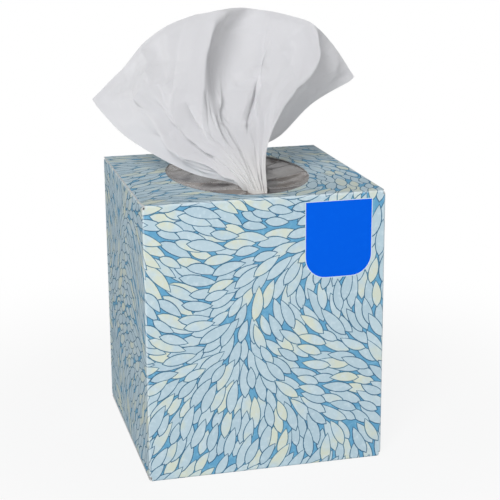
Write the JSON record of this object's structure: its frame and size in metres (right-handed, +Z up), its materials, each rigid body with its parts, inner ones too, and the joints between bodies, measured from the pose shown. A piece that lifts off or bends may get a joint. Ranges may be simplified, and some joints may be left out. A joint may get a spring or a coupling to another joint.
{
  "type": "tissue box",
  "caption": "Upright cube carton of printed paperboard with an oval mouth, slit film behind it, a bent stack of facial tissues and the first sheet standing out.",
  "frame": {"origin": "centre of the underside of the carton, which is the face it stands on", "axes": "+Z up, -Y towards the front panel, the one with the plain blue tab, +X to the right as seen from the front"},
  "size_m": [0.1281, 0.11, 0.2067],
  "materials": {
    "printed_board": "coated paperboard with a printed leaf pattern in pale blue, satin outside and plain grey inside",
    "clear_film": "thin clear film, slightly milky and wrinkled",
    "tissue_block": "soft white tissue paper in many thin layers",
    "tissue_sheet": "soft white two-ply tissue paper, slightly translucent"
  },
  "bodies": {
    "root": {"carton": "printed_board", "window_film": "clear_film", "tissue_stack": "tissue_block", "popup_tissue": "tissue_sheet"}
  },
  "joints": []
}
